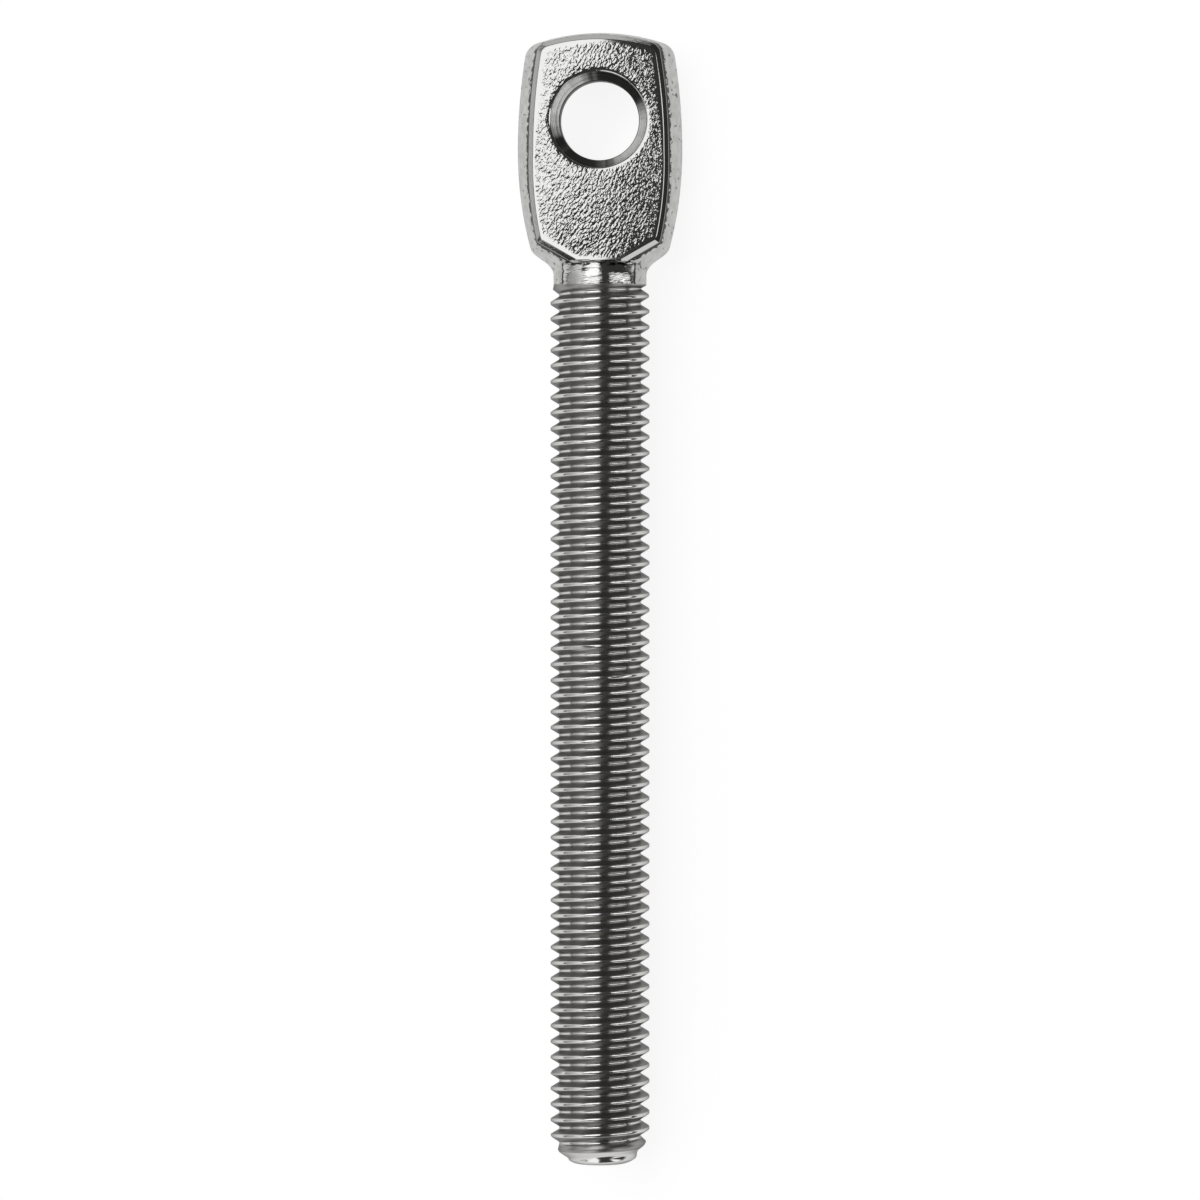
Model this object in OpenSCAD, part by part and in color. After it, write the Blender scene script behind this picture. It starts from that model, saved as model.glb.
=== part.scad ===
// Threaded eye terminal: a forged, flattened eye with a cross bore on a long threaded shank, in one piece.
// It lies on its thread with the eye's faces up and down. The origin is the centre of the eye's bore,
// +Y points to the top of the eye, the thread runs towards -Y, and +Z is up.

/* [Thread] */
// Major diameter of the thread, over its crests
thread_d = 7.9; // [6.5:0.1:12]
// Pitch of the thread
thread_pitch = 1.25; // [1:0.05:2]
// Depth of the thread, from crest to root
thread_depth = 0.7; // [0.5:0.01:0.85]
// Width of the flat along each crest
crest_w = 0.16; // [0.1:0.01:0.25]
// Threaded length, from the neck to the end of the tip
thread_len = 70; // [20:1:110]
// Turns over which the thread rises to its full height below the neck
runout_turns = 0.5; // [0.5:0.25:2]
// Where the thread starts, in facets round the shank
start_facet = 8; // [0:1:19]
// Diameter at the end of the tip's chamfer, before the rounding
tip_d = 5.6; // [4:0.1:6]
// Length of the chamfer round the tip
tip_len = 2.3; // [1:0.1:4]
// Radius of the rounding between the chamfer and the flat end
tip_round = 2; // [0.2:0.1:2.2]

/* [Neck] */
// Diameter of the plain neck between the eye and the thread
neck_d = 7.4; // [7:0.1:8.4]
// Distance from the centre of the bore to the end of the neck, where the thread starts
neck_end = 13; // [12.6:0.1:16]
// Radius at which the shoulders of the eye run out into the neck
neck_fillet = 1.2; // [0.4:0.1:1.6]
// Length of the slope by which the neck rises out of the eye's faces
heel_len = 0.35; // [0.2:0.05:0.8]

/* [Eye] */
// Width of the eye where it is widest
eye_w = 13.1; // [12:0.1:15]
// Thickness of the eye at its middle
eye_t = 6.1; // [5:0.1:6.6]
// Distance from the centre of the bore to the top of the eye
eye_top = 7; // [6.5:0.1:9]
// Distance from the centre of the bore down to the widest place
widest_below = 2.4; // [0:0.1:4]
// Radius of the sides above the widest place
side_r_upper = 48; // [30:1:90]
// Radius of the sides below the widest place
side_r_lower = 30; // [20:1:60]
// Radius of the arc across the top
top_r = 16; // [10:0.5:30]
// Radius of the two top corners
corner_r = 1.45; // [0.8:0.05:2.5]
// Distance from the centre of the bore to where the slopes of the shoulders meet the neck's side
shoulder_below = 11.55; // [11:0.05:12]
// Angle of the shoulders' slopes
shoulder_angle = 30; // [20:1:40]
// Rounding between the sides and the shoulders
shoulder_round = 0.7; // [0.3:0.1:1.2]

/* [Faces of the eye] */
// Crown radius of the two faces, across the eye
crown_r = 30; // [20:1:80]
// How far the side walls lean in from the parting line to the bevel
side_draft = 1.0; // [0.4:0.1:1.3]
// How much narrower the side bands are at the lower end of the faces than at the widest place
side_taper = 0.3; // [0:0.05:0.4]
// How far the top wall leans in from the parting line to the bevel
top_draft = 0.3; // [0.2:0.05:1]
// Width of the bevel round each face
bevel_w = 0.37; // [0.2:0.01:0.5]
// Height of the bevel round each face
bevel_h = 0.32; // [0.2:0.01:0.5]
// Distance from the centre of the bore to the lower end of each face
face_below = 11.1; // [11:0.1:12]
// Width of the lower end of each face
face_end_w = 3.4; // [2:0.1:5]
// Angle of the two lower edges of each face
face_angle = 30; // [20:0.5:40]

/* [Bore] */
// Diameter of the straight part of the bore through the eye
bore_d = 6.3; // [4:0.1:6.8]
// Length of the straight part of the bore
bore_land = 2.4; // [1:0.1:3.6]
// Diameter to which the bore widens towards each mouth
mouth_d = 7.6; // [7:0.1:8]
// Width of the rounded lip round each mouth
lip_w = 0.35; // [0.1:0.05:0.5]
// Height of the rounded lip at the top and the bottom of each mouth
lip_h = 0.25; // [0.1:0.05:0.4]

/* [Fineness] */
// Facets in one turn of the thread
turn_facets = 16; // [12:4:20]

/* [Hidden] */
$fn = 96;
flank_angle = 30;
thread_r = thread_d / 2;
root_r = thread_r - thread_depth;
// Half a facet's angle: the flats between the edges lie on the true radii, and one flat faces straight down
half_facet = 180 / turn_facets;
thread_start = (2 * start_facet + 1) * half_facet;
neck_r = neck_d / 2;
// The waist of the eye and the start of the thread lie this far under the neck's surface
neck_cover = 0.09;
waist_r = neck_r - neck_cover;
tip_y = -neck_end - thread_len;
half_w = eye_w / 2;
side_inset = side_draft + bevel_w;
// Where the sections of the eye start to stand closer together, above the lower end of the faces
turn_above = 1.7;
// How far the last section stands above the neck's end
last_above = 0.4;
// A little extra by which a cut or a buried end passes the surface that it meets
over = 0.5;

// Centre of the arc across the top, and of the arc of one side above the widest place
top_centre = [0, eye_top - top_r];
side_centre = [half_w - side_r_upper, -widest_below];
// Centre of a top corner, which touches both of these arcs from inside
corner_centre = meet(top_centre, top_r - corner_r, side_centre, side_r_upper - corner_r);
corner_from = touch(side_centre, corner_centre, corner_r);
corner_to = touch(top_centre, corner_centre, corner_r);
from_angle = atan2(corner_from.y - corner_centre.y, corner_from.x - corner_centre.x);
to_angle = atan2(corner_to.y - corner_centre.y, corner_to.x - corner_centre.x);
// Shares of the corner's turn at which the eye has a section; past the last one it is straight and the
// arc across the top cuts it off
corner_shares = [0.9, 0.7, 0.5, 0.3, 0.15, 0];
corner_last = corner_point(corner_shares[0]);

// The meeting point, on the +X side, of a circle round a and a circle round b
function meet(a, ra, b, rb) =
    let (d = norm(b - a))
    let (along = (ra * ra - rb * rb + d * d) / (2 * d))
    let (u = (b - a) / d)
    a + along * u + sqrt(ra * ra - along * along) * [u.y < 0 ? -u.y : u.y, u.y < 0 ? u.x : -u.x];

// Where a small circle touches, from inside, a larger one round the given centre
function touch(large, small, r) = small + r * (small - large) / norm(small - large);

// The smaller and the larger of two values, with the change from one to the other rounded over k
function round_min(a, b, k) =
    let (h = max(0, min(1, 0.5 + (b - a) / (2 * k))))
    b + (a - b) * h - k * h * (1 - h);
function round_max(a, b, k) = -round_min(-a, -b, k);

// Half the width of the eye at the height y, from the top corners down to the neck
function side_half(y) =
    let (r = y > -widest_below ? side_r_upper : side_r_lower)
    half_w - r + sqrt(r * r - pow(y + widest_below, 2));
function slope_half(y) = neck_r + (y + shoulder_below) / tan(shoulder_angle);
function corner_point(share) =
    let (a = from_angle + share * (to_angle - from_angle))
    corner_centre + corner_r * [cos(a), sin(a)];
function corner_half(y) = corner_centre.x + sqrt(max(0, pow(corner_r, 2) - pow(y - corner_centre.y, 2)));
function past_corner_half(y) =
    let (run = corner_last - corner_centre)
    corner_last.x - (y - corner_last.y) * run.y / run.x;
function outline_half(y) =
    y > corner_last.y ? past_corner_half(y)
    : y > corner_from.y ? corner_half(y)
    : round_max(round_min(side_half(y), slope_half(y), shoulder_round), waist_r, neck_fillet);

// Half the width of the eye's face at the height y
function face_inset(y) = side_inset - side_taper * max(0, -y - widest_below) / (face_below - widest_below);
function v_half(y) = face_end_w / 2 + (y + face_below) / tan(face_angle);
function face_half(y) = max(face_end_w / 2, min(outline_half(y) - face_inset(y), v_half(y)));

// Height of the crowned face above the eye's middle plane
function crown_z(x) = eye_t / 2 - crown_r + sqrt(crown_r * crown_r - x * x);

// A quarter of the eye's section at the height y, from the parting line up to the middle of the face
function quarter(y) =
    let (w = outline_half(y))
    let (f = face_half(y))
    let (edge = [f, crown_z(f)])
    let (foot = [f + bevel_w, edge.y - bevel_h])
    concat(
        [for (i = [0:2]) [w, 0] + (foot - [w, 0]) * i / 3],
        [foot],
        [for (i = [0:3]) [f * (1 - i / 4), crown_z(f * (1 - i / 4))]],
        [[0, eye_t / 2]]
    );

// The whole section: the quarter, mirrored twice
function ring(y) =
    let (q = quarter(y))
    let (n = len(q) - 1)
    concat(
        [for (i = [0:n - 1]) q[i]],
        [for (i = [n:-1:1]) [-q[i].x, q[i].y]],
        [for (i = [0:n - 1]) -q[i]],
        [for (i = [n:-1:1]) [q[i].x, -q[i].y]]
    );

// Heights of the sections, closest together where the outline turns, with one at the widest place
function between(from, to, steps, first) = [for (i = [first:steps]) from + (to - from) * i / steps];
function stations() =
    let (turn_y = -face_below + turn_above)
    concat(
        [eye_top + over],
        [for (share = corner_shares) corner_point(share).y],
        between(corner_from.y, -widest_below, 4, 1),
        between(-widest_below, turn_y, 3, 1),
        between(turn_y, -neck_end + last_above, 12, 1)
    );

module loft(sections) {
    rings = len(sections);
    n = len(sections[0]);
    points = [for (s = sections) for (p = s) p];
    walls = [for (j = [0:rings - 2]) for (i = [0:n - 1])
        let (a = j * n + i, b = j * n + (i + 1) % n)
        each [[a, b + n, b], [a, a + n, b + n]]];
    polyhedron(points, concat(walls, [[for (i = [0:n - 1]) i], [for (i = [n - 1:-1:0]) (rings - 1) * n + i]]));
}

module eye_blank() {
    loft([for (y = stations()) [for (p = ring(y)) [p.x, y, p.y]]]);
}

// The arc across the top, drafted both ways from the parting line and bevelled at each face
module top_form() {
    wall_top = eye_t / 2 - bevel_h;
    bevel_r = top_r - top_draft - bevel_w;
    lean = bevel_w / bevel_h;
    translate([top_centre.x, top_centre.y, 0])
        rotate_extrude($fn = 180)
            polygon([
                [0, -eye_t / 2 - over],
                [bevel_r - over * lean, -eye_t / 2 - over],
                [top_r - top_draft, -wall_top],
                [top_r, 0],
                [top_r - top_draft, wall_top],
                [bevel_r - over * lean, eye_t / 2 + over],
                [0, eye_t / 2 + over]
            ]);
}

// What the bore takes out: the straight part, and the taper and the lip of each mouth
module bore() {
    land = bore_land / 2;
    face = eye_t / 2;
    lip_slope = lip_w / lip_h;
    rotate_extrude()
        polygon([
            [0, -face - over],
            [mouth_d / 2 + lip_w + over * lip_slope, -face - over],
            [mouth_d / 2, -face + lip_h],
            [bore_d / 2, -land],
            [bore_d / 2, land],
            [mouth_d / 2, face - lip_h],
            [mouth_d / 2 + lip_w + over * lip_slope, face + over],
            [0, face + over]
        ]);
}

module eye() {
    color("silver")
        difference() {
            intersection() {
                eye_blank();
                top_form();
            }
            bore();
        }
}

// The plain neck, whose upper end slopes down into the eye's faces
module neck() {
    face = eye_t / 2;
    sunk = over * heel_len / (neck_r - face);
    color("silver")
        rotate([90, 0, 0])
            rotate_extrude()
                polygon([
                    [0, face_below - sunk],
                    [face - over, face_below - sunk],
                    [neck_r, face_below + heel_len],
                    [neck_r, neck_end],
                    [0, neck_end]
                ]);
}

// Axial section of one thread: where the root ends, the crest starts, the crest ends and the root starts again
flank_w = thread_depth * tan(flank_angle);
tooth = [
    [0, root_r],
    [flank_w, thread_r],
    [flank_w + crest_w, thread_r],
    [2 * flank_w + crest_w, root_r]
];

// How far the thread has risen out of the blank, after so many turns below the neck
function rise(turns) = max(0, min(1, turns / runout_turns));

// A point of the thread's surface, counted in facets along the helix from one turn above the neck
function helix_point(i, p) =
    let (turns = i / turn_facets)
    let (depth = turns * thread_pitch + p.x)
    let (r = (waist_r + (p.y - waist_r) * rise(depth / thread_pitch - 1)) / cos(half_facet))
    let (a = 360 * turns + thread_start)
    [-r * sin(a), -neck_end + thread_pitch - depth, r * cos(a)];

module thread() {
    turns = ceil(thread_len / thread_pitch) + 2;
    n = turn_facets;
    k = len(tooth);
    last = turns * n;
    points = concat(
        [for (i = [0:last]) for (p = tooth) helix_point(i, p)],
        [[0, -neck_end + thread_pitch, 0], [0, -neck_end - (turns - 1) * thread_pitch, 0]]
    );
    top_pole = (last + 1) * k;
    end_pole = top_pole + 1;
    sides = [for (i = [0:last - 1]) for (c = [0:k - 1])
        let (full = c < k - 1)
        if (full || i + n < last)
            let (a = i * k + c, b = a + k)
            let (d = full ? a + 1 : (i + n) * k, e = full ? b + 1 : (i + n + 1) * k)
            each [[a, d, e], [a, e, b]]];
    top_cap = concat(
        [for (i = [0:n - 1]) [top_pole, i * k, (i + 1) * k]],
        [for (c = [0:k - 2]) [top_pole, c + 1, c]],
        [[top_pole, n * k, k - 1]]
    );
    end_cap = concat(
        [for (i = [last - n:last - 1]) [end_pole, (i + 1) * k + k - 1, i * k + k - 1]],
        [for (c = [0:k - 2]) [end_pole, last * k + c, last * k + c + 1]],
        [[end_pole, (last - n) * k + k - 1, last * k]]
    );
    polyhedron(points, concat(sides, top_cap, end_cap));
}

// What the thread is turned from: a bar with a chamfered, rounded tip, and a core that joins it to the neck
module shank_form() {
    bar_r = thread_r + over;
    slope = (thread_r - tip_d / 2) / tip_len;
    bar_end = -tip_y - tip_len - over / slope;
    turn = 90 - atan(slope);
    flat_r = tip_d / 2 - tip_round * tan(turn / 2);
    steps = 5;
    rounding = [for (i = [steps:-1:0])
        let (a = turn * i / steps)
        [flat_r + tip_round * sin(a), -tip_y - tip_round * (1 - cos(a))]];
    rotate([90, 0, 0])
        rotate_extrude()
            polygon(concat(
                [[0, neck_end - over], [root_r, neck_end - over], [root_r, neck_end]],
                [[bar_r, neck_end], [bar_r, bar_end]],
                rounding,
                [[0, -tip_y]]
            ));
}

module shank() {
    color("silver")
        intersection() {
            thread();
            shank_form();
        }
}

module eye_terminal() {
    union() {
        eye();
        neck();
        shank();
    }
}

eye_terminal();
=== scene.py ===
"""Studio scene of the threaded eye terminal, in the frame of its CAD model, in metres."""

import math

import bmesh
import bpy
import numpy as np
from mathutils import Matrix, Vector


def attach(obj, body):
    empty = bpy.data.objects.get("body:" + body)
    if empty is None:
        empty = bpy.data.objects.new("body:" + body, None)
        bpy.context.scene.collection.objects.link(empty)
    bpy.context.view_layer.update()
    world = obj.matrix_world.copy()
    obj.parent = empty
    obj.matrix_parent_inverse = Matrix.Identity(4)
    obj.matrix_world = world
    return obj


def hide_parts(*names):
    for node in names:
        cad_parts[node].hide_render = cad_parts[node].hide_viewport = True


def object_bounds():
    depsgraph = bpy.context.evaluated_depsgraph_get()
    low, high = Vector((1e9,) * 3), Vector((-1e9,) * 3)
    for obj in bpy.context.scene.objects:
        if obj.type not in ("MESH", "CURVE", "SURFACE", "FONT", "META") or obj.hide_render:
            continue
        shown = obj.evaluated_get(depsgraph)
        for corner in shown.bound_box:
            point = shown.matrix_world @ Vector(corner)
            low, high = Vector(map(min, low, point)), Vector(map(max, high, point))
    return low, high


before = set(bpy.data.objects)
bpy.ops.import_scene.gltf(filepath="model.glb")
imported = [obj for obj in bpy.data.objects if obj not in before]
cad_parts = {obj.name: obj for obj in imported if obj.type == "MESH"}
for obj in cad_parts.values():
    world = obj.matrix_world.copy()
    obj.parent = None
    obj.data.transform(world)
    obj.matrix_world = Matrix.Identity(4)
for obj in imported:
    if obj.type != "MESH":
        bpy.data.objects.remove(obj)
cad_low, cad_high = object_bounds()

MM = 0.001

# Eye, in millimetres, with the bore's centre at 0, 0 and the thread towards -Y
EYE_HALF_W = 6.55
EYE_HALF_T = 3.05
EYE_TOP = 7.0
WIDEST_Y = -2.4
SIDE_R_UPPER = 48.0
SIDE_R_LOWER = 30.0
TOP_R = 16.0
CORNER_R = 1.45
CROWN_R = 30.0

# How far the sides and the top lean in from the parting plane, and how much less the sides lean low down
SIDE_DRAFT = 1.0
TOP_DRAFT = 0.3
SIDE_TAPER = 0.3

# Shoulders, which run out into the neck
SHOULDER_Y = -11.55
SHOULDER_ANGLE = math.radians(30)
SHOULDER_ROUND = 0.7
NECK_ROUND = 1.2

# Face: its upper corners, its lower end and the two slanting edges that lead to it
FACE_CORNER_R = 0.75
FACE_END_Y = -11.1
FACE_END_HALF = 1.7
FACE_V_ANGLE = math.radians(30)
FACE_TURN_ROUND = 0.12

# Bevel round the face, whose foot has rounder corners and ends further down
BEVEL_W = 0.37
BEVEL_H = 0.37
FOOT_CORNER_R = FACE_CORNER_R + 0.25
FOOT_END_Y = FACE_END_Y - 0.22

# Bore: its straight part, its mouth, and the outer edge of its lip
LAND_R = 3.15
LAND_HALF = 1.2
MOUTH_R = 3.8
LIP_R = 4.25

# Neck, whose front rises out of the face by a steep heel and then by a gentle slope
NECK_R = 3.7
NECK_END_Y = -13.0
HEEL_Y = -11.45
HEEL_SLOPE = 0.65 / 0.35
FRONT_Y = -12.15
FRONT_SLOPE = math.tan(math.radians(20))
NECK_BLEND = 0.25

# Thread and tip
THREAD_R = 3.95
THREAD_DEPTH = 0.7
PITCH = 1.25
START_TURN = 198.4 / 360
GROOVE_RUNOUT = 0.35
CREST_RUNOUT = 1.2
TIP_Y = -82.9999
TIP_R = 2.8
TIP_LEN = 2.3
TIP_ROUND = 2.0
TIP_SLOPE = (THREAD_R - TIP_R) / TIP_LEN

# Fineness: steps along each stretch of half the eye's outline, round the shank, and along lines before
# they are spread into steps
STEPS = {"top": 20, "corner": 14, "side": 74, "shoulder": 30, "end": 12}
SHANK_COLUMNS = 64
ARC_POINTS = 60
EDGE_POINTS = 400
OUTLINE_POINTS = 600


# Outlines of the eye


def round_min(a, b, k):
    """The smaller of two values, with the change from one to the other rounded over k."""
    h = np.clip(0.5 + (b - a) / (2 * k), 0, 1)
    return b + (a - b) * h - k * h * (1 - h)


def round_max(a, b, k):
    return -round_min(-a, -b, k)


def circles_meet(a, ra, b, rb):
    """Where a circle round a and a circle round b cross, on the +X side."""
    a, b = np.array(a, float), np.array(b, float)
    d = np.linalg.norm(b - a)
    along = (ra * ra - rb * rb + d * d) / (2 * d)
    u = (b - a) / d
    side = np.array([-u[1], u[0]])
    if side[0] < 0:
        side = -side
    return a + along * u + math.sqrt(ra * ra - along * along) * side


def arc(centre, r, start, end):
    a = np.linspace(start, end, ARC_POINTS)
    return np.column_stack([centre[0] + r * np.cos(a), centre[1] + r * np.sin(a)])


def angle_of(p, centre):
    return math.atan2(p[1] - centre[1], p[0] - centre[0])


def spread(points, count):
    """The same line with count equal steps."""
    points = np.asarray(points, float)
    run = np.r_[0, np.cumsum(np.linalg.norm(np.diff(points, axis=0), axis=1))]
    at = np.linspace(0, run[-1], count + 1)
    return np.column_stack([np.interp(at, run, points[:, i]) for i in range(points.shape[1])])


def side_half(y, inset=0.0):
    """Half the width between the eye's two sides at height y, set in by a distance."""
    r = np.where(y > WIDEST_Y, SIDE_R_UPPER, SIDE_R_LOWER)
    return EYE_HALF_W - r + np.sqrt((r - inset) ** 2 - (y - WIDEST_Y) ** 2)


def slope_half(y):
    """Half the width between the straight slopes of the two shoulders."""
    return NECK_R + (y - SHOULDER_Y) / math.tan(SHOULDER_ANGLE)


def outline_half(y):
    """Half the width of the eye's outline: sides, shoulders and neck, rounded into each other."""
    return round_max(round_min(side_half(y), slope_half(y), SHOULDER_ROUND), NECK_R, NECK_ROUND)


def top_and_corner(inset_top, inset_side, corner_r):
    """The arc across the top and the corner's arc, for an outline set in by these distances."""
    top_c = (0.0, EYE_TOP - TOP_R)
    side_c = (EYE_HALF_W - SIDE_R_UPPER, WIDEST_Y)
    top_r = TOP_R - inset_top
    side_r = SIDE_R_UPPER - inset_side
    c = circles_meet(top_c, top_r - corner_r, side_c, side_r - corner_r)
    to_top = angle_of(c, top_c)
    to_side = angle_of(c, side_c)
    return arc(top_c, top_r, math.pi / 2, to_top), arc(c, corner_r, to_top, to_side)


def v_half(y, out):
    """Half the width of the face between its two lower edges, set out by a distance."""
    return FACE_END_HALF + (y - FACE_END_Y) / math.tan(FACE_V_ANGLE) + out / math.sin(FACE_V_ANGLE)


def edge_line(inset_top, inset_side, corner_r, out, end_y):
    """Half of an edge round the face: five stretches from the top's middle to the lower end's middle."""
    top, corner = top_and_corner(inset_top, inset_side, corner_r)
    y = np.linspace(corner[-1][1], end_y, EDGE_POINTS)
    side = side_half(y, inset_side) + SIDE_TAPER * np.maximum(0, WIDEST_Y - y) / (WIDEST_Y - FACE_END_Y)
    x = round_min(side, v_half(y, out), FACE_TURN_ROUND)
    turn = int(np.argmin(np.abs(side - v_half(y, out))))
    line = np.column_stack([x, y])
    line[-1, 0] = max(line[-1, 0], FACE_END_HALF)
    end = np.array([[line[-1, 0], end_y], [0.0, end_y]])
    return [top, corner, line[: turn + 1], line[turn:], end]


def outline_line():
    """Half of the eye's outline on the parting plane, from the top's middle down to the neck's end."""
    top, corner = top_and_corner(0.0, 0.0, CORNER_R)
    y = np.linspace(corner[-1][1], NECK_END_Y, OUTLINE_POINTS)
    line = np.column_stack([outline_half(y), y])
    turn = int(np.argmin(np.abs(side_half(y) - slope_half(y))))
    line[-1, 0] = NECK_R
    return [np.column_stack([p, np.zeros(len(p))]) for p in (top, corner, line[: turn + 1], line[turn:])]


def mirrored(half):
    """A closed loop from its half on the +X side, which runs from the top's middle to the bottom's."""
    left = half[-2:0:-1].copy()
    left[:, 0] *= -1
    return np.vstack([half, left])


def loop_of(stretches):
    """A closed loop from the stretches of its half, each with its own number of steps."""
    parts = [spread(p, STEPS[name]) for name, p in zip(STEPS, stretches)]
    return mirrored(np.vstack([parts[0]] + [p[1:] for p in parts[1:]]))


def outer_loop():
    """The outer end of every column. The neck's end circle has equal steps, which the shank shares."""
    flat = outline_line()
    quarter = SHANK_COLUMNS // 4
    a = np.linspace(0, math.pi / 2, quarter + 1)
    circle = np.column_stack([NECK_R * np.cos(a), np.full(len(a), NECK_END_Y), NECK_R * np.sin(a)])
    low = STEPS["shoulder"] + STEPS["end"] - quarter
    parts = [
        spread(flat[0], STEPS["top"]),
        spread(flat[1], STEPS["corner"])[1:],
        spread(flat[2], STEPS["side"])[1:],
        spread(flat[3], low)[1:],
        circle[1:],
    ]
    return mirrored(np.vstack(parts))


# The eye and the neck as a mesh

# Heights of the rows in the straight part of the bore, and shares of the way from there to its mouth
LAND_ROWS = (0.0, 0.7, LAND_HALF - 0.04)
RING_ROWS = (0.02, 0.08, 0.3, 0.55, 0.8, 0.97)
# Lip: share of the way in from its outer edge, and how far the surface has dropped there
LIP_ROWS = [
    (0, 0), (0.15, 0.006), (0.3, 0.018), (0.5, 0.038),
    (0.7, 0.061), (0.85, 0.093), (0.95, 0.13), (1, 0.18),
]
# Width over which the ripples fade towards the bore
LIP_FADE = 0.8
# Even rows over the face: how far their stretch falls short of the way from the lip to the edge, and how far
# from the edge it ends. One more row lies close to the edge
FACE_ROWS = 15
FACE_ROWS_SHORT = 0.18
FACE_ROWS_END = 0.12
LAST_ROW_GAP = 0.04
# Shares of the way from the face's edge to the bevel's foot, and from there to the parting plane
BEVEL_ROWS = (0.0, 0.12, 0.5, 0.88)
WALL_ROWS = (0.0, 0.03, 0.07, 0.12, 0.2, 0.3, 0.4, 0.5, 0.6, 0.7, 0.78, 0.85, 0.91, 0.96, 0.985)
# Keeps the rounding between wall and neck above nothing at the parting plane
LEAST_BLEND = 1e-6

# Angles round the bore of the columns that end the eye's side and its shoulder
SIDE_END_ANGLE = math.radians(-57)
SHOULDER_END_ANGLE = math.radians(-79)

# Distance from the bevel's foot for rows that lie elsewhere, and how much less a distance along a steep wall
# counts than one in plan
FAR_GAP = 9.0
STEEP_SHARE = 2.9


def crown(x):
    """Height of the crowned face."""
    return EYE_HALF_T - CROWN_R + np.sqrt(CROWN_R ** 2 - x ** 2)


def neck_height(x, y):
    """Height of the neck's surface, whose front rises from the eye's face in two stages."""
    r = np.minimum(NECK_R, NECK_R + (HEEL_Y - y) * HEEL_SLOPE)
    r = np.minimum(r, NECK_R + (FRONT_Y - y) * FRONT_SLOPE)
    return np.sqrt(np.maximum(0, np.maximum(r, 0) ** 2 - x ** 2))


def circle_loop(r, angles):
    return np.column_stack([r * np.cos(angles), r * np.sin(angles)])


def column_angles(face_loop):
    """The angle of each column round the bore, spread evenly between the ends of the stretches."""
    marks = np.cumsum([0] + list(STEPS.values()))
    at = [math.pi / 2]
    at += [angle_of(face_loop[k], (0, 0)) for k in marks[1:3]]
    at += [SIDE_END_ANGLE, SHOULDER_END_ANGLE, -math.pi / 2]
    right = np.interp(np.arange(marks[-1] + 1), marks, at)
    return np.r_[right, math.pi - right[-2:0:-1]]


def loop_row(xy, z, surface, edge_gap=0.0, foot_gap=FAR_GAP):
    """A row: its points, the name of the surface that starts there, and two gaps in millimetres that the
    materials read, from the face's edge and from the bevel's foot."""
    ones = np.ones(len(xy))
    return np.column_stack([xy, z * ones]), surface, edge_gap * ones, foot_gap * ones


def bore_rows(angles):
    """The straight part of the bore, and the ring that widens to its mouth."""
    rows = [loop_row(circle_loop(LAND_R, angles), z, "bore") for z in LAND_ROWS]
    mouth_z = crown(MOUTH_R * np.cos(angles)) - LIP_ROWS[-1][1]
    for share in RING_ROWS:
        r = LAND_R + (MOUTH_R - LAND_R) * share
        rows.append(loop_row(circle_loop(r, angles), LAND_HALF + (mouth_z - LAND_HALF) * share, "bore"))
    return rows


def face_rows(face, angles):
    """The lip round the bore's mouth, and the crowned face from there out to its edge."""
    start = circle_loop(LIP_R, angles)
    length = np.linalg.norm(face - start, axis=1)
    rows = []
    for share, drop in reversed(LIP_ROWS):
        r = LIP_R + (MOUTH_R - LIP_R) * share
        fade = np.minimum(length, LIP_FADE * (1 - share))
        rows.append(loop_row(circle_loop(r, angles), crown(r * np.cos(angles)) - drop, "face", fade))
    way = (face - start) / length[:, None]
    shares = np.linspace(0, 1, FACE_ROWS + 1)[1:]
    gaps = [(length - FACE_ROWS_SHORT) * (1 - share) + FACE_ROWS_END for share in shares]
    for gap in gaps + [np.full(len(length), LAST_ROW_GAP)]:
        p = face - way * gap[:, None]
        rows.append(loop_row(p, crown(p[:, 0]), "face", gap))
    return rows


def bevel_rows(face, edge_z, foot, foot_z):
    """The bevel from the face's edge to its foot, or the neck where that stands higher."""
    rows = []
    for share in BEVEL_ROWS:
        p = face + (foot - face) * share
        z = edge_z + (foot_z - edge_z) * share
        rows.append(loop_row(p, np.maximum(z, neck_height(p[:, 0], p[:, 1])), "edge"))
    return rows


def line_gap(run, drop):
    """Distance from the bevel's foot: in plan, or along the wall where that is steep."""
    return np.maximum(run, np.hypot(run, drop) / STEEP_SHARE)


def wall_rows(foot, foot_z, outer):
    """The drafted side from the bevel's foot to the parting plane, rounded into the neck."""
    wall = outer[:, :2] - foot
    run = np.linalg.norm(wall, axis=1)
    rows = []
    for share in WALL_ROWS:
        p = foot + wall * share
        blend = NECK_BLEND * (1 - share) + LEAST_BLEND
        z = round_max(foot_z * (1 - share), neck_height(p[:, 0], p[:, 1]), blend)
        rows.append(loop_row(p, z, "side", 0.0, line_gap(run * share, foot_z - z)))
    rows.append(loop_row(outer[:, :2], outer[:, 2], "side", 0.0, line_gap(run, foot_z)))
    return rows


def head_rows():
    """Rows of points over the upper half of the head, from the bore's middle to the parting plane."""
    face = loop_of(edge_line(TOP_DRAFT + BEVEL_W, SIDE_DRAFT + BEVEL_W, FACE_CORNER_R, 0.0, FACE_END_Y))
    foot = loop_of(edge_line(TOP_DRAFT, SIDE_DRAFT, FOOT_CORNER_R, BEVEL_W, FOOT_END_Y))
    edge_z = crown(face[:, 0])
    foot_z = edge_z - BEVEL_H
    angles = column_angles(face)
    rows = bore_rows(angles) + face_rows(face, angles)
    return rows + bevel_rows(face, edge_z, foot, foot_z) + wall_rows(foot, foot_z, outer_loop())


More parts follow.
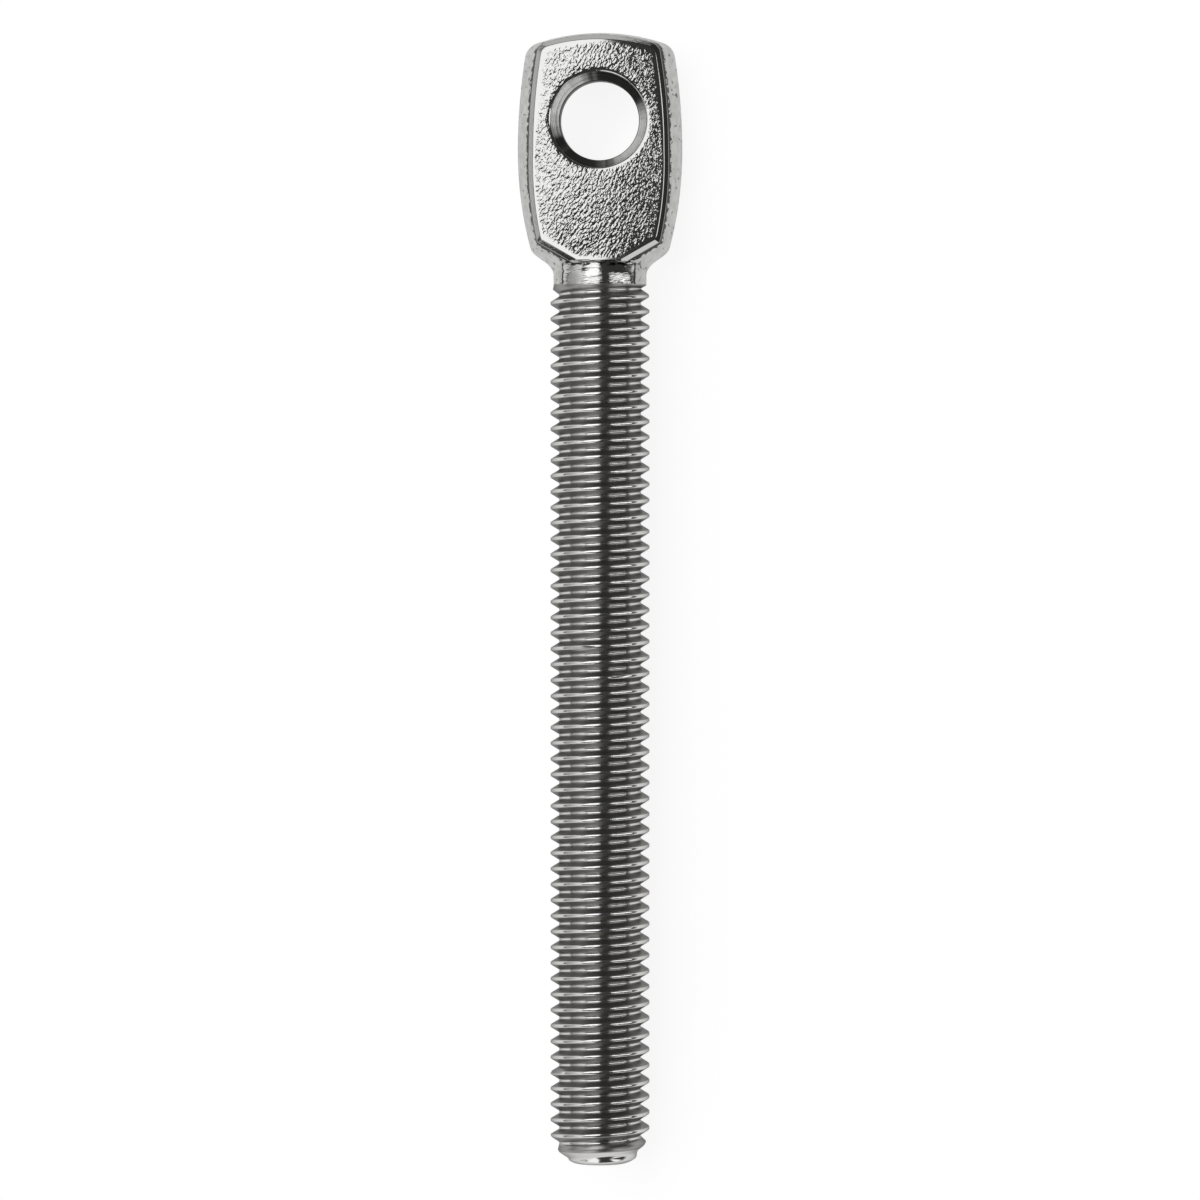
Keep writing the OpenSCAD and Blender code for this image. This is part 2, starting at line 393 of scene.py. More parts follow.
def build_head(skin, surfaces):
    """Both halves of the eye and neck, which meet along the bore's middle and the parting plane."""
    edge_gap = skin.verts.layers.float.new("edge_gap")
    foot_gap = skin.verts.layers.float.new("foot_gap")
    rows = head_rows()
    n = len(rows[0][0])
    for side in (1, -1):
        grid = []
        for points, _, edge_gaps, foot_gaps in rows:
            line = [skin.verts.new((p[0] * MM, p[1] * MM, side * p[2] * MM)) for p in points]
            for v, a, b in zip(line, edge_gaps, foot_gaps):
                v[edge_gap] = a
                v[foot_gap] = b
            grid.append(line)
        for j in range(len(rows) - 1):
            for i in range(n):
                k = (i + 1) % n
                f = skin.faces.new((grid[j][i], grid[j][k], grid[j + 1][k], grid[j + 1][i]))
                f.material_index = surfaces.index(rows[j][1])
                f.smooth = True


# Node trees


class Tree:
    """Adds nodes to a node tree and wires their inputs, which are sockets or plain values."""

    def __init__(self, tree):
        self.tree = tree

    def wire(self, socket, value):
        if isinstance(value, bpy.types.NodeSocket):
            self.tree.links.new(value, socket)
        else:
            socket.default_value = value

    def add(self, kind, inputs=(), **settings):
        node = self.tree.nodes.new(kind)
        for name, value in settings.items():
            setattr(node, name, value)
        named = inputs.items() if isinstance(inputs, dict) else enumerate(inputs)
        for key, value in named:
            self.wire(node.inputs[key], value)
        return node

    def math(self, operation, *inputs):
        return self.add("ShaderNodeMath", inputs, operation=operation).outputs[0]

    def ramp(self, value, low, high, to_low=0.0, to_high=1.0):
        """A value taken smoothly from one range to another, and held at its ends."""
        inputs = {"Value": value, "From Min": low, "From Max": high, "To Min": to_low, "To Max": to_high}
        return self.add("ShaderNodeMapRange", inputs, interpolation_type="SMOOTHSTEP").outputs[0]

    def band(self, value, rise, fall):
        """One between two smooth steps, up over the first range and down over the second, else nothing."""
        return self.math("MULTIPLY", self.ramp(value, *rise), self.ramp(value, *fall, 1, 0))

    def noise(self, place, scale, detail):
        inputs = {"Vector": place, "Scale": scale, "Detail": detail}
        return self.add("ShaderNodeTexNoise", inputs).outputs[0]

    def blend(self, share, a, b):
        """One value for a share of 0 and another for a share of 1."""
        return self.add("ShaderNodeMix", {0: share, 2: a, 3: b}, data_type="FLOAT").outputs[0]

    def blend_color(self, share, a, b):
        return self.add("ShaderNodeMix", {0: share, 6: a, 7: b}, data_type="RGBA").outputs[2]

    def split(self, vector):
        return self.add("ShaderNodeSeparateXYZ", (vector,)).outputs

    def length(self, vector):
        return self.add("ShaderNodeVectorMath", (vector,), operation="LENGTH").outputs["Value"]

    def attribute(self, name):
        return self.add("ShaderNodeAttribute", attribute_name=name).outputs["Fac"]

    def place(self, turn=0.0, scale=(1.0, 1.0, 1.0)):
        """Object coordinates in millimetres along axes turned in plan, each multiplied by its scale."""
        coordinate = self.add("ShaderNodeTexCoord").outputs["Object"]
        inputs = {"Vector": coordinate, "Rotation": (0, 0, turn), "Scale": tuple(MM / s for s in scale)}
        return self.add("ShaderNodeMapping", inputs, vector_type="TEXTURE").outputs[0]

    def bump(self, height, distance, strength=1.0):
        """A normal from a height, whose distance is in millimetres."""
        inputs = {"Height": height, "Distance": distance * MM, "Strength": strength}
        return self.add("ShaderNodeBump", inputs).outputs[0]


# The thread

# Half a turn of the thread from root to crest: share of the pitch, and share of the depth above the root
HALF_TOOTH = [
    (0, 0), (0.05, 0.012), (0.08, 0.045), (0.105, 0.1), (0.38, 0.9),
    (0.405, 0.955), (0.43, 0.985), (0.46, 0.998), (0.5, 1),
]
TOOTH = HALF_TOOTH + [(1 - s, h) for s, h in reversed(HALF_TOOTH[:-1])]
THREAD_ROWS = len(TOOTH) - 1
# Turns that the grid starts above the neck's end. What lies above that end is drawn down to it
TURNS_ABOVE = 2
# Share of their depth that the grooves keep in the chamfer, and the shares of its length over which they end
TIP_GROOVE = 0.42
GROOVE_END = (0.03, 0.22)
# Distances from the tip's end of the rings of points that its rounding needs
TIP_RINGS = (0.03, 0.08, 0.15, 0.25, 0.4, 0.6, 0.85, 1.1)
# Worn places on the crests: Y, degrees to the right of straight up, reach along Y and round, and depth
WORN_PLACES = [
    (-41.9, -20, 0.3, 18, 0.07),
    (-43.9, 24, 0.3, 9, 0.08),
    (-75.3, -75, 0.45, 30, 0.15),
    (-74.9, -10, 0.3, 16, 0.07),
]
# Points closer than this, in metres, are one: within the thread, and between the thread and the neck
THREAD_WELD = 1e-7
SKIN_WELD = 2e-7


def thread_group():
    """A node group with the thread's sizes as named inputs."""
    group = bpy.data.node_groups.new("Thread", "GeometryNodeTree")
    face = group.interface
    sizes = {
        "Pitch": PITCH * MM,
        "Crest radius": THREAD_R * MM,
        "Depth": THREAD_DEPTH * MM,
        "Blank radius": NECK_R * MM,
        "Start": NECK_END_Y * MM,
        "End": TIP_Y * MM,
        "Tip radius": TIP_R * MM,
        "Chamfer length": TIP_LEN * MM,
        "Groove run-out": GROOVE_RUNOUT * MM,
        "Crest run-out": CREST_RUNOUT * MM,
        "Start turn": START_TURN,
        "Groove kept at the tip": TIP_GROOVE,
    }
    for name, value in sizes.items():
        face.new_socket(name, in_out="INPUT", socket_type="NodeSocketFloat").default_value = value
    for name in ("Columns", "Rows a turn", "Turns"):
        face.new_socket(name, in_out="INPUT", socket_type="NodeSocketInt")
    face.new_socket("Material", in_out="INPUT", socket_type="NodeSocketMaterial")
    face.new_socket("Geometry", in_out="OUTPUT", socket_type="NodeSocketGeometry")
    return group


def tooth_curve(t, step, item):
    """A Float Curve node along one turn's rows, through one item of each point of the tooth."""
    node = t.add("ShaderNodeFloatCurve", {"Value": step})
    points = [(i / THREAD_ROWS, p[item]) for i, p in enumerate(TOOTH)]
    curve = node.mapping.curves[0]
    curve.points[0].location = points[0]
    curve.points[-1].location = points[-1]
    for p in points[1:-1]:
        curve.points.new(*p)
    for p in curve.points:
        p.handle_type = "VECTOR"
    node.mapping.update()
    return node.outputs[0]


def sheared_grid(t, given):
    """A grid of rows and columns, and for each of its points the share of the way round the shank, the
    turns climbed, and the height of the tooth."""
    m = t.math
    row_count = m("ADD", m("MULTIPLY", given["Rows a turn"], given["Turns"]), 1)
    counts = {"Vertices X": m("ADD", given["Columns"], 1), "Vertices Y": row_count}
    grid = t.add("GeometryNodeMeshGrid", counts).outputs["Mesh"]
    index = t.add("GeometryNodeInputIndex").outputs[0]
    column = m("FLOOR", m("DIVIDE", m("ADD", index, 0.5), row_count))
    row = m("SUBTRACT", index, m("MULTIPLY", column, row_count))
    round_share = m("DIVIDE", column, given["Columns"])
    turn = m("FLOOR", m("DIVIDE", m("ADD", row, 0.5), given["Rows a turn"]))
    step = m("DIVIDE", m("SUBTRACT", row, m("MULTIPLY", turn, given["Rows a turn"])), given["Rows a turn"])
    climbed = m("ADD", m("ADD", turn, tooth_curve(t, step, 0)), round_share)
    return grid, round_share, climbed, tooth_curve(t, step, 1)


def cut_radius(t, given, height, y):
    """Radius of the thread: its groove runs out quickly at the neck, and its crest rises slowly there."""
    m = t.math
    root = m("SUBTRACT", given["Crest radius"], given["Depth"])
    cut = m("ADD", root, m("MULTIPLY", given["Depth"], height))
    over = m("SUBTRACT", cut, given["Blank radius"])
    below = m("SUBTRACT", given["Start"], y)
    groove_share = t.ramp(m("DIVIDE", below, given["Groove run-out"]), 0, 1)
    crest_share = t.ramp(m("DIVIDE", below, given["Crest run-out"]), 0, 1)
    groove = m("MULTIPLY", m("MINIMUM", over, 0), groove_share)
    crest = m("MULTIPLY", m("MAXIMUM", over, 0), crest_share)
    return m("ADD", given["Blank radius"], m("ADD", groove, crest))


def chamfered_radius(t, given, cut, y):
    """The same radius within the chamfer's cone, into which the grooves run on for a while."""
    m = t.math
    slope = m("DIVIDE", m("SUBTRACT", given["Crest radius"], given["Tip radius"]), given["Chamfer length"])
    above = m("SUBTRACT", y, given["End"])
    cone = m("ADD", given["Tip radius"], m("MULTIPLY", above, slope))
    along = m("DIVIDE", above, given["Chamfer length"])
    kept = t.ramp(along, *GROOVE_END, 0.0, given["Groove kept at the tip"])
    sunk = m("MULTIPLY", m("SUBTRACT", given["Crest radius"], cut), kept)
    return m("MINIMUM", cut, m("SUBTRACT", cone, sunk))


def thread_tree():
    """A screw thread on a plain shank: a sheared grid, which climbs one pitch on its way round the shank."""
    group = thread_group()
    t = Tree(group)
    m = t.math
    given = t.add("NodeGroupInput").outputs
    grid, round_share, climbed, height = sheared_grid(t, given)
    pitches = m("SUBTRACT", m("SUBTRACT", climbed, TURNS_ABOVE), given["Start turn"])
    free_y = m("SUBTRACT", given["Start"], m("MULTIPLY", pitches, given["Pitch"]))
    y = m("MINIMUM", given["Start"], m("MAXIMUM", given["End"], free_y))
    r = chamfered_radius(t, given, cut_radius(t, given, height, y), y)
    angle = m("MULTIPLY", round_share, 2 * math.pi)
    x = m("MULTIPLY", m("MULTIPLY", r, -1), m("SINE", angle))
    z = m("MULTIPLY", r, m("COSINE", angle))
    place = t.add("ShaderNodeCombineXYZ", (x, y, z)).outputs[0]
    shaped = t.add("GeometryNodeSetPosition", {"Geometry": grid, "Position": place}).outputs[0]
    welded = t.add("GeometryNodeMergeByDistance", {"Geometry": shaped, "Distance": THREAD_WELD}).outputs[0]
    smooth = t.add("GeometryNodeSetShadeSmooth", {"Geometry": welded}).outputs[0]
    real = t.add("GeometryNodeRealizeInstances", {"Geometry": smooth}).outputs[0]
    painted = t.add("GeometryNodeSetMaterial", {"Geometry": real, "Material": given["Material"]}).outputs[0]
    t.add("NodeGroupOutput", {"Geometry": painted})
    return group


def build_thread(material):
    """The thread as a plain mesh."""
    holder = bpy.data.objects.new("thread", bpy.data.meshes.new("thread"))
    bpy.context.scene.collection.objects.link(holder)
    modifier = holder.modifiers.new("Thread", "NODES")
    modifier.node_group = thread_tree()
    turns = math.ceil((NECK_END_Y - TIP_Y) / PITCH) + TURNS_ABOVE + 1
    given = {"Columns": SHANK_COLUMNS, "Rows a turn": THREAD_ROWS, "Turns": turns, "Material": material}
    for item in modifier.node_group.interface.items_tree:
        if item.in_out == "INPUT":
            modifier[item.identifier] = given.get(item.name, getattr(item, "default_value", None))
    bpy.context.view_layer.update()
    evaluated = holder.evaluated_get(bpy.context.evaluated_depsgraph_get())
    made = bpy.data.meshes.new_from_object(evaluated)
    bpy.data.objects.remove(holder)
    return made


def cone_radius(s):
    """Radius of the chamfer's cone at a distance from the tip's end."""
    return TIP_R + TIP_SLOPE * s


def tip_radius(s):
    """Radius of the tip at a distance from its end: a rounding that runs out into the chamfer's cone."""
    turn = math.pi / 2 - math.atan(TIP_SLOPE)
    if s > TIP_ROUND * (1 - math.cos(turn)):
        return cone_radius(s)
    flat_r = TIP_R - TIP_ROUND * math.tan(turn / 2)
    return flat_r + math.sqrt(TIP_ROUND ** 2 - (TIP_ROUND - s) ** 2)


def round_tip(skin):
    """Adds rings of points near the tip's end, and draws them in from the chamfer's cone to its rounding."""
    for s in TIP_RINGS:
        everything = skin.verts[:] + skin.edges[:] + skin.faces[:]
        place = Vector((0, (TIP_Y + s) * MM, 0))
        bmesh.ops.bisect_plane(skin, geom=everything, plane_co=place, plane_no=(0, 1, 0))
    for v in skin.verts:
        s = v.co.y / MM - TIP_Y
        if s < TIP_LEN:
            share = tip_radius(max(0, s)) / cone_radius(max(0, s))
            v.co.x *= share
            v.co.z *= share


def wear_crests(skin):
    """Presses the worn places of the crests flat."""
    for y, angle, half_length, half_angle, depth in WORN_PLACES:
        for v in skin.verts:
            off_y = abs(v.co.y / MM - y) / half_length
            off_angle = abs(math.degrees(math.atan2(v.co.x, v.co.z)) - angle) / half_angle
            if off_y < 1 and off_angle < 1:
                r = math.hypot(v.co.x, v.co.z)
                top = (THREAD_R - depth * math.sqrt(1 - off_angle ** 2) * math.sqrt(1 - off_y ** 2)) * MM
                if r > top:
                    v.co.x *= top / r
                    v.co.z *= top / r


# Materials

STEEL = (0.56, 0.56, 0.55, 1)
EDGE_STEEL = (0.46, 0.46, 0.45, 1)
SATIN_DARK = (0.58, 0.58, 0.57, 1)
SATIN_LIGHT = (0.68, 0.68, 0.67, 1)
# Painted reflection on the ring of the bore's mouth: its dark and its bright colour
BORE_PAINTED_DARK = (0.05, 0.05, 0.049, 1)
BORE_PAINTED_SHEEN = (0.95, 0.95, 0.94, 1)
# Thread colours: painted highlights on crests and roots, painted shade on the flanks
CREST_HIGHLIGHT_STEEL = (0.74, 0.735, 0.725, 1)
FLANK_SHADE_STEEL = (0.38, 0.375, 0.365, 1)
# Black for the pits, for the dark border of the neck's polish, and as painted shade along the bevel's foot
# and on the bore's straight part
SCALE_AND_SHADE_BLACK = (0.05, 0.048, 0.046, 1)
# Painted shade at the outline: a dark edge tint makes the steel mirror less of what lies straight behind its
# outline than plain reflection gives
EDGE_SHADE_TINT = (0.4, 0.4, 0.4, 1)

# Fine grain of the bevels, the sides and the thread, and its height on the polished ones, in millimetres
FINE_GRAINS_A_MM = 5.0
FINE_GRAIN_HEIGHT = 0.004
# Roughness of each grained steel, and how far it varies
EDGE_ROUGHNESS = (0.06, 0.03)
SATIN_ROUGHNESS = (0.42, 0.25)
THREAD_ROUGHNESS = (0.13, 0.1)


def grain_group():
    """Fine unevenness of steel: it changes the roughness a little and gives a height for a bump."""
    group = bpy.data.node_groups.new("Steel grain", "ShaderNodeTree")
    face = group.interface
    face.new_socket("Vector", in_out="INPUT", socket_type="NodeSocketVector")
    for name, value in {"Grains a mm": 4.0, "Roughness": 0.2, "Spread": 0.1}.items():
        face.new_socket(name, in_out="INPUT", socket_type="NodeSocketFloat").default_value = value
    for name in ("Roughness", "Height"):
        face.new_socket(name, in_out="OUTPUT", socket_type="NodeSocketFloat")
    t = Tree(group)
    given = t.add("NodeGroupInput").outputs
    noise = t.noise(given["Vector"], given["Grains a mm"], 3.0)
    uneven = t.math("MULTIPLY", t.math("SUBTRACT", noise, 0.5), given["Spread"])
    t.add("NodeGroupOutput", {"Roughness": t.math("ADD", given["Roughness"], uneven), "Height": noise})
    return group


GRAIN = grain_group()


def grain(t, place, roughness, roughness_spread):
    """The grain group in a material, with the material's own values."""
    node = t.add("ShaderNodeGroup", node_tree=GRAIN)
    t.wire(node.inputs["Vector"], place)
    t.wire(node.inputs["Grains a mm"], FINE_GRAINS_A_MM)
    t.wire(node.inputs["Roughness"], roughness)
    t.wire(node.inputs["Spread"], roughness_spread)
    return node.outputs


def steel(name, color):
    """A metal material, its tree and its shader's inputs."""
    material = bpy.data.materials.new(name)
    material.use_nodes = True
    shader = material.node_tree.nodes["Principled BSDF"].inputs
    shader["Base Color"].default_value = color
    shader["Metallic"].default_value = 1
    return material, Tree(material.node_tree), shader


# Ripples of the forged faces: their slant, their scale along each axis, how many there are to a millimetre,
# their height in millimetres, and the distances from the face's edge between which they grow
RIPPLE_SLANT = math.radians(-32)
RIPPLE_SCALE = (1.0, 0.6, 1.0)
RIPPLES_A_MM = 4.9
RIPPLE_HEIGHT = 0.085
RIPPLE_MARGIN = (0.05, 0.7)
# Wider hollows under the ripples, as a share of their height
HOLLOWS_A_MM = 0.9
HOLLOW_SHARE = 0.5
# The face falls away below this place in Y, by this share of the ripples' height times the square of the
# distance in millimetres. The fall grows from nothing between the two places in X
FALL_START_Y = -2.0
FACE_FALL = 0.07
FALL_X = (-6, -1)
FACE_ROUGHNESS = 0.12


def pebbled_steel():
    """The forged faces: fine slanting ripples, which fade to a smooth margin."""
    material, t, shader = steel("pebbled_steel", STEEL)
    m = t.math
    ripples = t.noise(t.place(RIPPLE_SLANT, RIPPLE_SCALE), RIPPLES_A_MM, 1.0)
    hollows = t.noise(t.place(), HOLLOWS_A_MM, 1.0)
    where = t.split(t.place())
    lower = m("MAXIMUM", m("SUBTRACT", FALL_START_Y, where["Y"]), 0)
    fall = m("MULTIPLY", m("MULTIPLY", lower, lower), t.ramp(where["X"], *FALL_X, 0, FACE_FALL))
    height = m("SUBTRACT", m("ADD", ripples, m("MULTIPLY", hollows, HOLLOW_SHARE)), fall)
    strength = t.ramp(t.attribute("edge_gap"), *RIPPLE_MARGIN)
    t.wire(shader["Normal"], t.bump(height, RIPPLE_HEIGHT, strength))
    shader["Roughness"].default_value = FACE_ROUGHNESS
    return material


def edge_steel():
    """The bevels, pressed smooth."""
    material, t, shader = steel("edge_steel", EDGE_STEEL)
    fine = grain(t, t.place(), *EDGE_ROUGHNESS)
    t.wire(shader["Roughness"], fine["Roughness"])
    t.wire(shader["Normal"], t.bump(fine["Height"], FINE_GRAIN_HEIGHT))
    return material


# Polished front of the neck, in millimetres: where the polish ends to each side, where the dark border there
# starts and ends, how far both wander, and where they end in Y
POLISH_END_X = (2.78, 2.84)
BORDER_START_X = (2.74, 2.8)
BORDER_END_X = (2.88, 2.95)
BORDER_WANDER = 0.35
POLISH_END_Y = (-11.35, -11.25)
POLISH_ROUGHNESS = 0.1
# Fine scratches run round the polished front
SCRATCH_SLANT = math.radians(8)
SCRATCH_SCALE = (0.7, 7.0, 1.0)
SCRATCH_SHARE = 2.4
# Ragged line of painted shade along the bevel's foot: its least and its greatest width, and the changes to a
# millimetre
SHADE_LINE_WIDTHS = (0.1, 0.34)
RAGS_A_MM = 2.6
# Darker and lighter patches of the satin, to a millimetre
PATCHES_A_MM = 1.6
# Pits: how many there are to a millimetre, the level of the noise that they lie under, and how dark they are
PITS_A_MM = 3.2
PIT_LEVEL = (0.21, 0.27)
PIT_DARK = 0.7
SATIN_GRAIN_SHARE = 0.2
SATIN_HEIGHT = 0.02


def satin_steel():
    """The satin sides, with small pits, a ragged line of painted shade under the bevel and a polished neck
    front.
    """
    material, t, shader = steel("satin_steel", SATIN_LIGHT)
    m = t.math
    place = t.place()
    fine = grain(t, place, *SATIN_ROUGHNESS)
    where = t.split(place)
    ragged = t.noise(place, RAGS_A_MM, 3.0)
    across = m("ADD", m("ABSOLUTE", where["X"]), m("MULTIPLY", m("SUBTRACT", ragged, 0.5), BORDER_WANDER))
    low = t.ramp(where["Y"], *POLISH_END_Y, 1, 0)
    polished = m("MULTIPLY", t.ramp(across, *POLISH_END_X, 1, 0), low)
    border = m("MULTIPLY", t.band(across, BORDER_START_X, BORDER_END_X), low)
    shade_line_width = t.ramp(ragged, 0.3, 0.65, *SHADE_LINE_WIDTHS)
    # Painted shade: a ragged dark line along the bevel's foot
    line = t.ramp(m("DIVIDE", t.attribute("foot_gap"), shade_line_width), 0.7, 1.0, 1, 0)
    unpolished = m("SUBTRACT", 1, polished)
    pits = m("MULTIPLY", t.ramp(t.noise(place, PITS_A_MM, 0.0), *PIT_LEVEL, 1, 0), unpolished)
    patches = t.ramp(t.noise(place, PATCHES_A_MM, 4.0), 0.35, 0.65)
    mottled = t.blend_color(patches, SATIN_DARK, SATIN_LIGHT)
    # Dark marks: the neck's border, the pits, and the painted shade line along the bevel's foot
    marks = m("MAXIMUM", m("MAXIMUM", line, border), m("MULTIPLY", pits, PIT_DARK))
    t.wire(shader["Base Color"], t.blend_color(marks, mottled, SCALE_AND_SHADE_BLACK))
    t.wire(shader["Roughness"], t.blend(polished, fine["Roughness"], POLISH_ROUGHNESS))
    scratch_noise = t.noise(t.place(SCRATCH_SLANT, SCRATCH_SCALE), 1.0, 2.0)
    scratches = m("MULTIPLY", scratch_noise, m("MULTIPLY", polished, SCRATCH_SHARE))
    uneven = m("MULTIPLY", m("MULTIPLY", fine["Height"], SATIN_GRAIN_SHARE), unpolished)
    height = m("SUBTRACT", m("ADD", uneven, scratches), pits)
    t.wire(shader["Normal"], t.bump(height, SATIN_HEIGHT))
    return material


# Painted sheen: the ring of the bore's mouth is painted brightest along this line, and streaks across it
# break the painted sheen up
SHEEN_ANGLE = math.radians(-30)
SHEEN_WAY = (math.cos(SHEEN_ANGLE), math.sin(SHEEN_ANGLE), 0.0)
SHEEN_LEVEL = (0.2, 0.95)
SHEEN_STREAKS_ROUND = 3.5
SHEEN_STREAK_SHARE = 1.3
# How far outside the bore's straight part, which is painted dark as shade, the ring's steel starts and is
# complete
RING_START = (0.01, 0.1)
TURNING_MARKS_A_MM = 9.0
TURNING_MARK_HEIGHT = 0.07
BORE_ROUGHNESS = 0.28


def bore_steel():
    """The bore's mouths, with turning marks that run round them, a painted sheen that comes and goes round
    the ring, and painted shade on the straight part.
    """
    material, t, shader = steel("bore_steel", BORE_PAINTED_SHEEN)
    m = t.math
    where = t.split(t.place())
    flat = t.add("ShaderNodeCombineXYZ", (where["X"], where["Y"], 0.0)).outputs[0]
    way = t.add("ShaderNodeVectorMath", (flat,), operation="NORMALIZE").outputs["Vector"]
    bright_way = t.add("ShaderNodeVectorMath", (way, SHEEN_WAY), operation="DOT_PRODUCT").outputs["Value"]
    sheen_streaks = m("MULTIPLY", m("SUBTRACT", t.noise(way, SHEEN_STREAKS_ROUND, 3.0), 0.5), SHEEN_STREAK_SHARE)
    # Painted sheen: brightest along the chosen line, broken up by streaks
    painted_sheen = t.ramp(m("ADD", m("MULTIPLY", bright_way, bright_way), sheen_streaks), *SHEEN_LEVEL)
    radius = t.length(flat)
    ring = t.ramp(radius, LAND_R + RING_START[0], LAND_R + RING_START[1])
    painted_ring_color = t.blend_color(painted_sheen, BORE_PAINTED_DARK, BORE_PAINTED_SHEEN)
    # Painted shade: the bore's straight part is black, and the ring takes the painted sheen
    t.wire(shader["Base Color"], t.blend_color(ring, SCALE_AND_SHADE_BLACK, painted_ring_color))
    marks = t.add("ShaderNodeTexNoise", noise_dimensions="1D")
    t.wire(marks.inputs["W"], radius)
    marks.inputs["Scale"].default_value = TURNING_MARKS_A_MM
    t.wire(shader["Normal"], t.bump(marks.outputs[0], TURNING_MARK_HEIGHT))
    shader["Roughness"].default_value = BORE_ROUGHNESS
    # Painted shade: the dark edge tint darkens the ring's outline
    shader["Specular Tint"].default_value = EDGE_SHADE_TINT
    return material


# Painted highlights along the thread's roots and crests: how far from these radii they start to fade and end
HIGHLIGHT_FADE = (0.02, 0.1)
# The flanks are duller than the lines, from this far above the tip's end up
FLANK_DULL = 0.18
FLANK_DULL_START = (0.5, 1.0)
THREAD_GRAIN_SCALE = (0.6, 4, 0.6)


def thread_steel():
    """The thread, with painted highlights along its crests and roots, and painted shade and more roughness
    on its flanks.
    """
    material, t, shader = steel("thread_steel", CREST_HIGHLIGHT_STEEL)
    fine = grain(t, t.place(0, THREAD_GRAIN_SCALE), *THREAD_ROUGHNESS)
    where = t.split(t.place())
    section = t.add("ShaderNodeCombineXYZ", (where["X"], 0.0, where["Z"])).outputs[0]
    root_r = THREAD_R - THREAD_DEPTH
    rise = (root_r + HIGHLIGHT_FADE[0], root_r + HIGHLIGHT_FADE[1])
    fall = (THREAD_R - HIGHLIGHT_FADE[1], THREAD_R - HIGHLIGHT_FADE[0])
    shaded_flank = t.band(t.length(section), rise, fall)
    # Painted highlight on crests and roots, painted shade on the flanks
    t.wire(shader["Base Color"], t.blend_color(shaded_flank, CREST_HIGHLIGHT_STEEL, FLANK_SHADE_STEEL))
    # Painted shade: the dark edge tint darkens the thread's outline
    shader["Specular Tint"].default_value = EDGE_SHADE_TINT
    dull = t.ramp(where["Y"], TIP_Y + FLANK_DULL_START[0], TIP_Y + FLANK_DULL_START[1], 0, FLANK_DULL)
    t.wire(shader["Roughness"], t.math("ADD", fine["Roughness"], t.math("MULTIPLY", shaded_flank, dull)))
    t.wire(shader["Normal"], t.bump(fine["Height"], FINE_GRAIN_HEIGHT))
    return material


# The whole terminal

SURFACES = ["face", "edge", "side", "bore", "thread"]
MATERIALS = {
    "face": pebbled_steel(),
    "edge": edge_steel(),
    "side": satin_steel(),
    "bore": bore_steel(),
    "thread": thread_steel(),
}
# Edges of the thread's open end lie within this distance of it
TIP_REACH = 0.01


def close_tip(skin):
    """A flat face over the open end of the thread."""
    tip_edges = [e for e in skin.edges if e.is_boundary and e.verts[0].co.y < (TIP_Y + TIP_REACH) * MM]
    tip = bmesh.ops.contextual_create(skin, geom=tip_edges)
    for f in tip["faces"]:
        f.material_index = SURFACES.index("thread")
        f.smooth = False


def terminal_mesh():
    """The thread and the head, welded into one closed skin."""
    skin = bmesh.new()
    skin.from_mesh(build_thread(MATERIALS["thread"]))
    round_tip(skin)
    wear_crests(skin)
    for f in skin.faces:
        f.material_index = SURFACES.index("thread")
        f.smooth = True
    build_head(skin, SURFACES)
    bmesh.ops.remove_doubles(skin, verts=skin.verts, dist=SKIN_WELD)
    close_tip(skin)
    bmesh.ops.recalc_face_normals(skin, faces=skin.faces)
    mesh = bpy.data.meshes.new("eye_terminal_skin")
    skin.to_mesh(mesh)
    skin.free()
    for name in SURFACES:
        mesh.materials.append(MATERIALS[name])
    return mesh


terminal = bpy.data.objects.new("terminal", terminal_mesh())
bpy.context.scene.collection.objects.link(terminal)
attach(terminal, "root")
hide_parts("eye_terminal")

# Floor

# Half its width, in metres
FLOOR_HALF = 1.5
FLOOR_COLOR = (0.3, 0.3, 0.3, 1)
FLOOR_GLOW = 0.86
# Steel shows these shares of the floor's glow: near the part, and further off to both sides, with the change
# between these places in X, in millimetres
GLOW_IN_STEEL = 0.8
GLOW_FAR_OFF = 0.1
GLOW_START_X = (-200, -150)
GLOW_END_X = (38, 52)


def floor_paper():
    """Paper that the camera and the steel see as white, and that is grey in the lamps' light."""
    paper = bpy.data.materials.new("floor_paper")
    paper.use_nodes = True
    shader = paper.node_tree.nodes["Principled BSDF"].inputs
    shader["Base Color"].default_value = FLOOR_COLOR
    shader["Roughness"].default_value = 1
    shader["Specular IOR Level"].default_value = 0
    shader["Emission Color"].default_value = (1, 1, 1, 1)
    t = Tree(paper.node_tree)
    path = t.add("ShaderNodeLightPath").outputs
    across = t.split(t.place())["X"]
    left = t.ramp(across, *GLOW_START_X, GLOW_FAR_OFF, GLOW_IN_STEEL)
    right = t.ramp(across, *GLOW_END_X, GLOW_IN_STEEL, GLOW_FAR_OFF)
    in_steel = t.math("MULTIPLY", path["Is Glossy Ray"], t.math("MINIMUM", left, right))
    direct = t.math("MAXIMUM", path["Is Camera Ray"], in_steel)
    seen = t.math("MAXIMUM", direct, path["Is Transmission Ray"])
    t.wire(shader["Emission Strength"], t.math("MULTIPLY", seen, FLOOR_GLOW))
    return paper


FLOOR_SIGNS = ((-1, -1), (1, -1), (1, 1), (-1, 1))
corners = [(x * FLOOR_HALF, y * FLOOR_HALF, cad_low.z) for x, y in FLOOR_SIGNS]
floor_mesh = bpy.data.meshes.new("floor")
floor_mesh.from_pydata(corners, [], [(0, 1, 2, 3)])
floor_mesh.materials.append(floor_paper())
floor = bpy.data.objects.new("floor", floor_mesh)
bpy.context.scene.collection.objects.link(floor)

